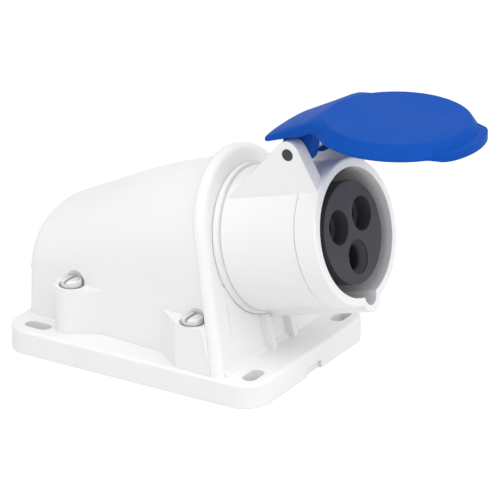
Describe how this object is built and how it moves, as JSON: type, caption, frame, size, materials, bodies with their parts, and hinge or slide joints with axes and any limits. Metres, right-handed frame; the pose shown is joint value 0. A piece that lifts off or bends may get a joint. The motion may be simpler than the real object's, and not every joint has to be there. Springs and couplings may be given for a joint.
{
  "type": "industrial socket",
  "caption": "Angled surface-mounting industrial socket with earth contact: white base and wiring cover, slanted round collar, blue sprung lid standing open.",
  "frame": {"origin": "middle of the plate's wall face", "axes": "+Z out of the wall, -Y to the side on which the socket opens, X across the plate"},
  "size_m": [0.079, 0.1759, 0.1012],
  "materials": {
    "white_polyamide": "fine matt moulded",
    "blue_polyamide": "satin moulded",
    "dark_polyamide": "matt moulded",
    "contact_brass": "turned",
    "zinc_steel": "zinc plated",
    "pin_steel": "blackened",
    "seal_rubber": "moulded",
    "grey_rubber": "moulded"
  },
  "bodies": {
    "socket": {"mounting_base": "white_polyamide", "rear_cover": "white_polyamide", "cover_seal": "seal_rubber", "cover_screws": "zinc_steel", "cable_grommet": "grey_rubber", "clamp_saddle": "white_polyamide", "clamp_screws": "zinc_steel", "socket_collar": "white_polyamide", "collar_seal": "seal_rubber", "collar_nut": "dark_polyamide", "contact_carrier": "dark_polyamide", "carrier_screws": "zinc_steel", "line_contact": "contact_brass", "neutral_contact": "contact_brass", "earth_contact": "contact_brass", "contact_clips": "zinc_steel", "terminal_screws": "zinc_steel", "hinge_pin": "pin_steel", "lid_spring": "zinc_steel"},
    "lid": {"lid": "blue_polyamide", "lid_seal": "seal_rubber"}
  },
  "joints": [
    {"name": "lid_hinge", "type": "hinge", "parent": "socket", "child": "lid", "pos_m": [0, -0.05054, 0.08607], "axis": [1, 0, 0], "range_deg": [0, 75], "stiffness_Nm_per_rad": 0.01, "springref_deg": 91.67}
  ]
}
